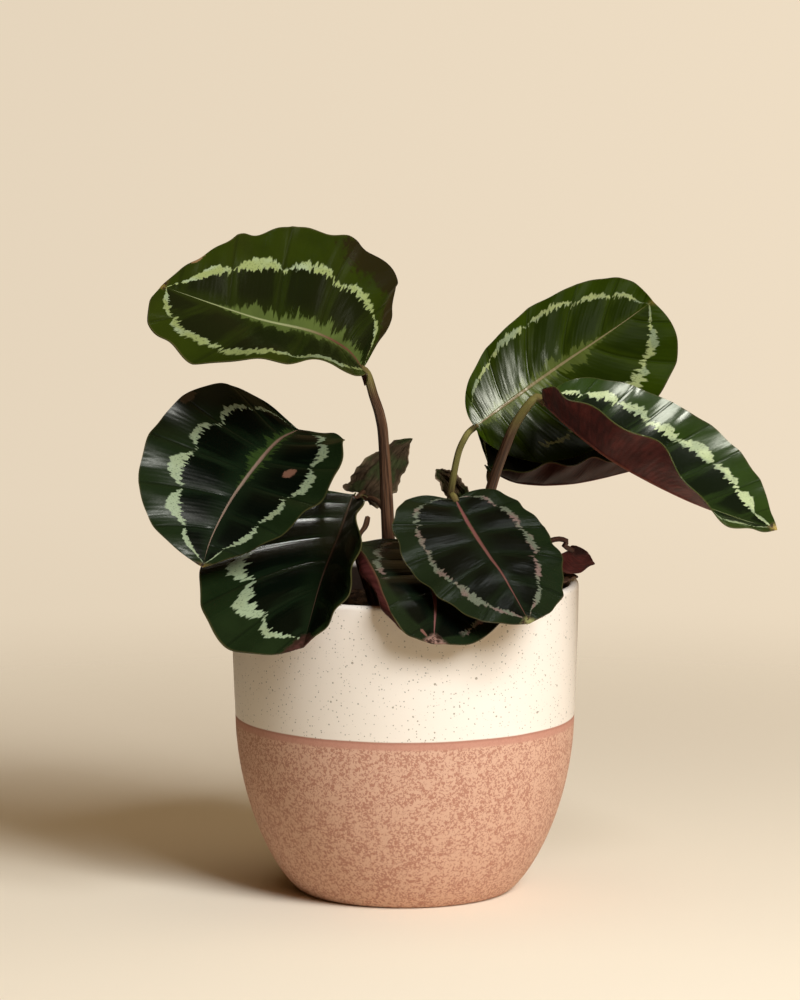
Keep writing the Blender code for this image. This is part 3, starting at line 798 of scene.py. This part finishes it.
def pale_ring(g, at, marks):
    """The ring's place between midrib and margin, and 1 where it shows."""
    v, s = at.v, at.s
    ends = (1 - ((v * 2 - 1).use("ABSOLUTE") / 0.965) ** 4).use("MAXIMUM", 0) ** 0.333
    place = at.either(marks.ring) * 1.02 * ends
    place = place + (at.arch - 0.7) * marks.scallop + (at.chance - 0.5) * 0.06
    half = at.arch * (1 - marks.ring_join) + marks.ring_join
    half = half * (at.chance_2 * 0.7 + 0.55) * marks.ring_width
    inside = place - half + (at.streaks(95, 7, 0) - 0.5) * 0.26
    outside = place + half + (at.streaks(80, 6, 3) - 0.5) * 0.18
    ring = g.step(s, inside - 0.012, inside + 0.012) * g.step(s, outside + 0.012, outside - 0.012)
    ring = ring * g.step(at.streaks(300, 40, 0, detail=2), 0.25, 0.45)
    ring = ring * at.either(marks.ring_shown)
    first, last = at.either(marks.ring_from), at.either(marks.ring_to)
    ring = ring * g.step(v, first - 0.02, first + 0.02) * g.step(v, last + 0.02, last - 0.02)
    return place, ring


def feathering(g, at, marks):
    """1 in the pale spikes beside the midrib."""
    spikes = at.streaks(56, 3, 9, roughness=0.6)
    reach = (spikes * 2.6 - 0.7) * marks.feather * (at.arch * 0.5 + 0.6)
    end = marks.feather_end
    reach = reach * g.step(at.v, end, end - 0.25) * g.step(at.v, 0, 0.12)
    return g.step(at.s, reach + 0.015, reach - 0.04)


def worn_and_shaded(g, at, leaf, colour):
    """The colour with a brown margin, damage, patches of painted shade and a dry tip, and 1 where the tip
    is dry.
    """
    margin = g.step(at.s, 0.982, 0.996) * g.noise(g.vector(at.v * 12, at.right * 5), 1, 2)
    colour = g.mix(margin * 0.6, colour, (96, 84, 48))
    patch = g.noise(g.place(), 420, 4, 0.6)
    # Round spots: damage, and on the upper left blade also patches of painted shade.
    for spot_v, spot_t, radius, tone in leaf.marks.damage_and_shade_spots:
        along = (at.v - spot_v) * USUAL_LENGTH
        across = (at.t - spot_t) * leaf.half[int(spot_t > 0)]
        away = (along**2 + across**2) ** 0.5 + (patch - 0.5) * radius * 1.6
        colour = g.mix(g.step(away, radius, radius * 0.6), colour, tone)
    start, tone = leaf.marks.tip
    dry = g.step(at.v + (patch - 0.5) * 0.05, start - 0.01, start + 0.015)
    tip = g.mix(g.step(patch, 0.45, 0.6), tone, (48, 30, 22))
    return g.mix(dry, colour, tip), dry


def upper_face(leaf):
    """The pattern: a jagged pale ring, feathering along the midrib, dark lanes between main veins."""
    marks = leaf.marks
    outer, inner, dark, pale = PALETTES[marks.palette]
    g = Graph("upper_" + leaf.name)
    at = BladePlace(g, marks)
    v, s, arch = at.v, at.s, at.arch
    place, ring = pale_ring(g, at, marks)

    within = g.step(s, place + 0.05, place - 0.05)
    stripe = at.streaks(55, 2.5, 5)
    lane_dark = g.step(arch + (stripe - 0.5) * 1.4, 0.15, 0.75) * within * g.step(s, 0.03, 0.3)
    groove = g.step(arch, 0.22, 0.02) * g.step(s, 0.04, 0.2)
    mottle = g.step(g.noise(g.place(), 90, 3), 0.35, 0.75)
    tinted = g.step(at.streaks(9, 4, 2, detail=2), 0.45, 0.62)
    colour = g.mix(within, outer, inner)
    colour = g.mix(lane_dark * marks.lane_depth, colour, dark)
    # Painted shade: the colour darkens in the sunken grooves along the main veins.
    colour = g.mix(groove * 0.3, colour, dark)
    colour = g.mix(feathering(g, at, marks) * 0.85, colour, marks.feather_colour)
    colour = g.mix(mottle * 0.25, colour, dark)
    colour = g.mix(ring * 0.92, colour, g.mix(tinted, pale, marks.ring_tint))

    width = (0.022 - v * 0.012) * marks.rib_width
    rib = g.step(s, width * 1.6, width * 0.7) * g.step(v, 1, 0.93)
    rib_colour = g.mix(g.step(v, 0.3, 0.6), marks.rib, marks.rib_end or marks.rib)
    colour, dry = worn_and_shaded(g, at, leaf, g.mix(rib * 0.9, colour, rib_colour))

    lines = (v * VEIN_LINES).use("SINE")
    fine = at.streaks(190, 26, 0, detail=2)
    swell = at.streaks(30, 1.6, 4, detail=1)
    g.bump(lines * 0.1 + fine * 0.3 + swell * 3.6 - rib * 1.5 - groove * 2, 0.1, 0.6)
    roughness = fine * 0.12 + 0.18 + dry * 0.3 + ring * 0.08
    specular = 0.27
    if marks.glossy_base:
        lower = g.step(v + (stripe - 0.5) * 0.7, 0.55, 0.2)
        near = lower * g.step(s + (swell - 0.5) * 0.6 + at.right * 0.35, 0.8, 0.3)
        specular = near * 0.45 + 0.01
    return g.finish(colour, roughness, specular)


def lower_face(leaf):
    """The underside: deep maroon with darker stretches, and a paler midrib."""
    g = Graph("lower_" + leaf.name)
    v, t = g.uv("veins")
    s = t.use("ABSOLUTE")
    stripes = g.noise(g.vector(v * 60, s * 3, t.use("SIGN") * 4), 1, 3)
    clouds = g.noise(g.place(), 60, 2)
    deep, high = leaf.marks.under
    colour = g.mix(g.step(stripes, 0.3, 0.7), deep, high)
    colour = g.mix(g.step(clouds, 0.35, 0.65) * 0.55, colour, deep)
    colour = g.mix(g.step(s, 0.05, 0.02), colour, (120, 66, 52))
    colour = g.mix(g.step(s, 0.965, 0.99) * 0.5, colour, (100, 72, 50))
    fine = g.noise(g.vector(v * 190, s * 20, 2), 1, 2)
    g.bump((v * VEIN_LINES).use("SINE") * 0.2 + fine, 0.2, 0.5)
    return g.finish(colour, fine * 0.15 + 0.5, 0.1)


def withered_face(side, leaf):
    """A dry blade with lengthwise stripes of brown and dull green."""
    g = Graph(side + leaf.name)
    dark, light, cloud, edge = leaf.tones
    v, t = g.uv("veins")
    wrinkles = g.noise(g.vector(v * 6, t * 26), 1, 4, 0.6)
    clouds = g.noise(g.place(), 110, 3)
    colour = g.mix(g.step(wrinkles, 0.35, 0.65), dark, light)
    colour = g.mix(g.step(clouds, 0.45, 0.62), colour, cloud)
    colour = g.mix(g.step(t.use("ABSOLUTE"), 0.86, 0.98) * 0.6, colour, edge)
    g.bump(wrinkles, 1.2, 0.8)
    return g.finish(colour, clouds * 0.2 + 0.55)


def stalk_face(stalk):
    """Brown with red and pale grey streaks along it, olive green where it nears the blade. The pale streaks
    are partly the stalk's own grey and partly painted highlights.
    """
    g = Graph("stalk_" + stalk.name)
    turn, run = g.uv("run")
    streaks = g.noise(g.vector(turn * 9, run * 5), 1, 4, 0.6)
    pale_streak_sheen = g.noise(g.vector(turn * 16, run * 9, 6), 1, 3)
    low, high, pale = STALK_TONES[stalk.look]
    colour = g.mix(g.step(streaks, 0.35, 0.65), low, high)
    # Pale grey streaks, partly the stalk's own grey and partly painted highlights; they also lighten the
    # olive part.
    colour = g.mix(g.step(pale_streak_sheen, 0.55, 0.75) * 0.6, colour, pale)
    start = stalk.green_from
    green = g.step(run + (streaks - 0.5) * 0.12, start - 0.06, start + 0.06)
    green = green * (1 - g.step(run, 0.95, 0.995) * 0.6)
    colour = g.mix(green * 0.85, colour, g.mix(pale_streak_sheen, (92, 90, 36), (146, 134, 78)))
    g.bump(streaks + pale_streak_sheen * 0.5, 0.5, 0.7)
    return g.finish(colour, streaks * 0.25 + 0.4)


def glaze(g, place):
    """Cream with small brown specks, and how much of a speck each point is."""
    cream = g.mix(g.noise(place, 30, 2), (232, 219, 200), (237, 224, 206))
    specks = 0
    for scale, size, share in SPECKS:
        cells = g.node("TexVoronoi", {"Vector": place, "Scale": scale, "Randomness": 1})
        pick = g.split(cells.outputs["Color"])[0]
        spread = g.step(pick, share, 1) * size
        distance = Value(g, cells.outputs["Distance"])
        dot = g.step(distance, spread, spread * 0.6) * g.step(pick, share, share + 0.02)
        specks = dot + specks
    ragged = g.step(g.noise(place, 1400, 2), 0.35, 0.5)
    return g.mix((specks * ragged).use("MINIMUM", 0.7), cream, (104, 92, 60)), specks


def bare_clay(g, place, height):
    """The mottled bowl with a plain strip and a darker line at the glaze, and its fine flecks."""
    flecks = g.noise(place, 900, 2, 0.5, 0.9)
    large = g.noise(place, 150, 2)
    bare = g.mix(large, (203, 159, 131), (210, 167, 139))
    mottle = g.step(flecks + (large - 0.5) * 0.3, 0.49, 0.56)
    bare = g.mix(mottle * 0.8, bare, (164, 108, 85))
    strip = GLAZE_HEIGHT - STRIP_HEIGHT
    bare = g.mix(g.step(height, strip - 0.6, strip + 0.6) * 0.85, bare, (188, 132, 110))
    line = g.step(height, GLAZE_HEIGHT - 1.2, GLAZE_HEIGHT + 0.1)
    return g.mix(line * 0.6, bare, (158, 104, 82)), flecks


def pot_face():
    """Cream glaze with sparse specks over a bare bowl, and painted shade on the inner wall below the rim.
    """
    g = Graph("pot_glaze")
    place = g.place()
    x, y, z = (part / MM for part in g.split(place))
    height = z + g.noise(place, 25, 2) * 0.6
    glazed = g.step(height, GLAZE_HEIGHT + 0.1, GLAZE_HEIGHT + 0.7)
    cream, specks = glaze(g, place)
    bare, flecks = bare_clay(g, place, height)
    colour = g.mix(glazed, bare, cream)
    inner = RIM_RADIUS - WALL
    inside = g.step((x * x + y * y) ** 0.5, inner + 1.2, inner + 0.3)
    # Painted shade: the inner wall turns dark brown from just under the rim downwards, for the shade inside
    # the pot.
    inner_wall_shade = inside * glazed * g.step(height, POT_HEIGHT - 2, POT_HEIGHT - 5)
    colour = g.mix(inner_wall_shade, colour, (46, 35, 27))
    roughness = (1 - glazed) * 0.36 + 0.3 + (flecks - 0.5) * (1 - glazed) * 0.2
    g.bump(flecks * (1 - glazed) * 0.5 + glazed * 0.6 - specks * glazed * 0.2, 0.35, 0.5)
    return g.finish(colour, roughness)


def soil_face():
    g = Graph("potting_mix")
    place = g.place()
    coarse = g.noise(place, 260, 4, 0.65)
    fine = g.noise(place, 900, 3)
    colour = g.mix(g.step(coarse, 0.35, 0.65), (22, 15, 11), (62, 44, 32))
    colour = g.mix(g.step(fine, 0.66, 0.72) * 0.7, colour, (112, 88, 64))
    g.bump(coarse + fine * 0.5, 2, 0.9)
    return g.finish(colour, 0.95)


# Pieces


def pot_profile():
    """(radius, height) from the foot up the outside, over the round lip and down the inside."""
    profile = [(outer_radius(z), z) for z in GLAZE_HEIGHT * np.linspace(0, 1, 46) ** 1.7]
    edge = POT_HEIGHT - WALL / 2
    profile += [(outer_radius(z), z) for z in np.linspace(GLAZE_HEIGHT + 1.5, edge, 26)]
    for a in np.linspace(0, pi, 17)[1:-1]:
        profile.append((RIM_RADIUS - WALL / 2 * (1 - cos(a)), edge + WALL / 2 * sin(a)))
    profile.append((RIM_RADIUS - WALL, edge))
    return profile + [(inner_radius(z), z) for z in np.linspace(SOIL_TOP, POT_FLOOR, 30)]


def add_pot():
    pot = lathe("ceramic_pot", [(0, 0)] + pot_profile() + [(0, POT_FLOOR)], pot_face())
    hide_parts("pot")


def add_lumps(soil, spread, rng):
    """Raise and lower the soil's top by a sum of random waves that fades out at the pot."""
    waves = rng.uniform(-1, 1, (SOIL_WAVES, 2)) * np.linspace(0.12, 1.5, SOIL_WAVES)[:, None]
    shifts = rng.uniform(0, 2 * pi, SOIL_WAVES)
    sizes = 0.75 / (1 + np.linspace(0, 3, SOIL_WAVES))
    for vertex in soil.data.vertices:
        x, y, z = vertex.co / MM
        r = hypot(x, y)
        if z > SOIL_TOP - 1:
            lump = float(np.sum(np.sin(waves[:, 0] * x + waves[:, 1] * y + shifts) * sizes))
            fade = min(1.0, (spread - r) / 3) if r < spread else 0.0
            vertex.co.z += (lump * fade - 0.6) * MM


def add_soil():
    """A lumpy surface with loose crumbs. Its sides follow the pot's inside."""
    rng = np.random.default_rng(4)
    spread = inner_radius(SOIL_TOP) - SOIL_GAP
    wall = [(inner_radius(z) - SOIL_GAP, z + SOIL_GAP) for z in (POT_FLOOR, 14, 34, 80)]
    top = [(r, SOIL_TOP) for r in spread * np.linspace(1, 0, SOIL_RINGS + 1)]
    profile = [(0, POT_FLOOR + SOIL_GAP)] + wall + top
    soil = lathe("soil_surface", profile, soil_face(), sides=SOIL_SIDES, sharp=180)
    add_lumps(soil, spread, rng)
    crumbs = []
    for _ in range(CRUMBS):
        reach = spread * 0.95 * sqrt(rng.uniform())
        turn = rng.uniform(0, 2 * pi)
        size = rng.uniform(0.5, 1.9)
        height = SOIL_TOP + rng.uniform(-0.6, 0.9)
        corners = unit(rng.normal(size=(CRUMB_CORNERS, 3))) * size
        corners = corners * rng.uniform(0.6, 1.0, (CRUMB_CORNERS, 1)) * (1, 1, 0.7)
        crumbs.append(corners + (reach * cos(turn), reach * sin(turn), height))
    crumbs = crumb_object(crumbs)
    for piece in (soil, crumbs):
        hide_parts("potting_soil")


def crumb_object(groups):
    """Loose crumbs, each the hull of a few points."""
    shape = bmesh.new()
    for group in groups:
        corners = [shape.verts.new(Vector(point) * MM) for point in group]
        hull = bmesh.ops.convex_hull(shape, input=corners)
        loose = [v for v in hull["geom_interior"] if isinstance(v, bmesh.types.BMVert)]
        bmesh.ops.delete(shape, geom=loose, context="VERTS")
    bmesh.ops.recalc_face_normals(shape, faces=shape.faces)
    mesh = bpy.data.meshes.new("soil_crumbs")
    shape.to_mesh(mesh)
    shape.free()
    mesh.materials.append(bpy.data.materials["potting_mix"])
    obj = add_object("soil_crumbs", mesh)
    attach(obj, "root")
    return obj


def add_leaves():
    for leaf in LEAVES:
        piece = blade_object(leaf, upper_face(leaf), lower_face(leaf))
        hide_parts("blade_" + leaf.name)


def add_withered():
    for leaf in WITHERED:
        upper, lower = withered_face("upper_", leaf), withered_face("lower_", leaf)
        piece = blade_object(leaf, upper, lower, WITHERED_ROWS, WITHERED_COLUMNS)
        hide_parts(leaf.name)


def add_side_stalk(points, faces, coordinates):
    """Add the stalk of the withered leaf at the back, which grows out of the upper left one."""
    ends = list(SIDE_STALK) + joint_points("withered_back", SIDE_STALK_RADII[-1])
    more, sides, places = tube(ends, SIDE_STALK_RADII)
    faces += [[n + len(points) for n in face] for face in sides]
    points += more
    coordinates += [(turn, run * 0.8) for turn, run in places]


def add_stalks():
    for stalk in STALKS:
        buried = [(*stalk.root, SOIL_TOP + z) for z in (-ROOT_DEPTH, -ROOT_DEPTH / 2, 1, 4)]
        path = buried + list(stalk.path)
        bare = stalk.name == "stub"
        if not bare:
            path += joint_points(stalk.name, stalk.radii[-1], stalk.under)
        shape = tube(path, stalk.radii, knob if bare else None)
        if stalk.name == "upper_left":
            add_side_stalk(*shape)
        points, faces, coordinates = shape
        node = "dry_stub" if bare else "stalk_" + stalk.name
        finish = stalk_face(stalk)
        piece = new_object("stem_" + stalk.name, points, faces, (finish,), maps={"run": coordinates})
        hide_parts(node)


# Stage, light and camera


def add_floor():
    """A round pale floor that fades into the background."""
    g = Graph("floor")
    x, y, _ = g.split(g.place())
    g.finish((244, 229, 202), 0.85)
    fade = g.step((x * x + y * y) ** 0.5, *FLOOR_FADE)
    clear = g.node("BsdfTransparent").outputs[0]
    join = g.node("MixShader", {0: fade, 1: g.shader.outputs[0], 2: clear})
    g.put(g.tree.nodes["Material Output"].inputs["Surface"], join.outputs[0])
    ring = [(cos(a), sin(a), -0.0002) for a in np.linspace(0, 2 * pi, 97)[:-1]]
    mesh = bpy.data.meshes.new("floor")
    mesh.from_pydata(ring, [], [range(len(ring))])
    mesh.materials.append(g.owner)
    add_object("floor", mesh)


def add_world():
    """A warm backdrop for the camera, and a dim warm fill that grows towards the right."""
    g = Graph("studio", "worlds")
    scene.world = g.owner
    x, _, z = g.split(g.node("TexCoord").outputs["Generated"])
    seen = g.tree.nodes["Background"]
    backdrop = g.mix(g.ramp(z, -0.21, -0.14), (224, 206, 179), (235, 218, 193))
    g.put(seen.inputs["Color"], backdrop)
    g.put(seen.inputs["Strength"], g.ramp(x, -0.07, 0.07, 0.95, 1.03))
    strength = g.ramp(x, -0.7, 1, 0.02, 1.5)
    fill = g.node("Background", {"Color": (0.185, 0.12, 0.048, 1), "Strength": strength})
    camera_ray = g.node("LightPath").outputs["Is Camera Ray"]
    join = g.node("MixShader", {0: camera_ray, 1: fill.outputs[0], 2: seen.outputs[0]})
    g.put(g.tree.nodes["World Output"].inputs["Surface"], join.outputs[0])


def add_light(name, azimuth, elevation, distance, size, power, colour):
    """A square soft light that looks at the plant. Azimuth 0 is in front and 90 at the right."""
    a, e = radians(azimuth), radians(elevation)
    way = Vector((sin(a) * cos(e), -cos(a) * cos(e), sin(e)))
    data = bpy.data.lights.new(name, "AREA")
    data.shape = "SQUARE"
    data.size = size
    data.energy = power
    data.color = colour
    light = add_object(name, data)
    light.location = Vector(LIGHT_AIM) + way * distance
    light.rotation_euler = (-way).to_track_quat("-Z", "Y").to_euler()
    return light


def add_gloss(names, *values):
    """A panel that only shows as gloss, and only on the pieces named."""
    light = add_light("gloss_" + names[0], *values)
    light.visible_diffuse = False
    group = bpy.data.collections.new(light.name)
    for name in names:
        group.objects.link(bpy.data.objects[name])
    light.light_linking.receiver_collection = group


def add_camera():
    """It stands in front and looks slightly down, as the photograph does."""
    e = radians(CAMERA_TILT)
    back = Vector((0, -cos(e), sin(e)))
    up = Vector((0, sin(e), cos(e)))
    data = bpy.data.cameras.new("camera")
    data.sensor_width = 36
    data.lens = LENS
    camera = add_object("camera", data)
    camera.location = Vector(CAMERA_AIM) + back * CAMERA_DISTANCE + up * CAMERA_RAISE
    camera.rotation_euler = (-back).to_track_quat("-Z", "Y").to_euler()
    scene.camera = camera


LIGHTS = (  # name, azimuth, elevation, distance, size, power, colour
    ("key", 34, 35, 2.2, 0.95, 71, (0.87, 0.93, 1.03)),
    ("top", 0, 88, 2, 1.5, 7.5, (0.98, 0.81, 0.64)),
)
GLOSS = (  # pieces, then as above
    (("ceramic_pot",), 36, 34, 2.2, 0.8, 16, (0.9, 0.95, 1)),
    (("leaf_upper_left",), 82, 24, 1.7, 0.15, 0.2, (1, 1, 0.8)),
    (("leaf_upper_right",), -21, -8, 1.7, 0.6, 26, (1, 1, 0.85)),
    (("leaf_right_rolled",), -42, 42, 1.7, 0.9, 92, (1, 1, 0.88)),
    (("leaf_right_rolled",), -16, 2, 1.7, 0.4, 50, (1, 1, 0.88)),
    (("leaf_mid_left",), -30, 58, 1.7, 0.15, 4, (1, 1, 0.92)),
    (("leaf_lower_left", "leaf_front_low"), -172, 32, 1.7, 0.2, 1.3, (1, 1, 0.95)),
    (("leaf_front_centre",), 162, 82, 1.7, 0.12, 0.4, (0.95, 1, 0.98)),
    (("leaf_front_low",), 140, 68, 1.7, 0.12, 0.5, (0.95, 1, 0.95)),
)


add_camera()
add_pot()
add_soil()
add_leaves()
add_withered()
add_stalks()
add_floor()
add_world()
for values in LIGHTS:
    add_light(*values).visible_glossy = False
for values in GLOSS:
    add_gloss(*values)
scene.view_settings.view_transform = "Standard"
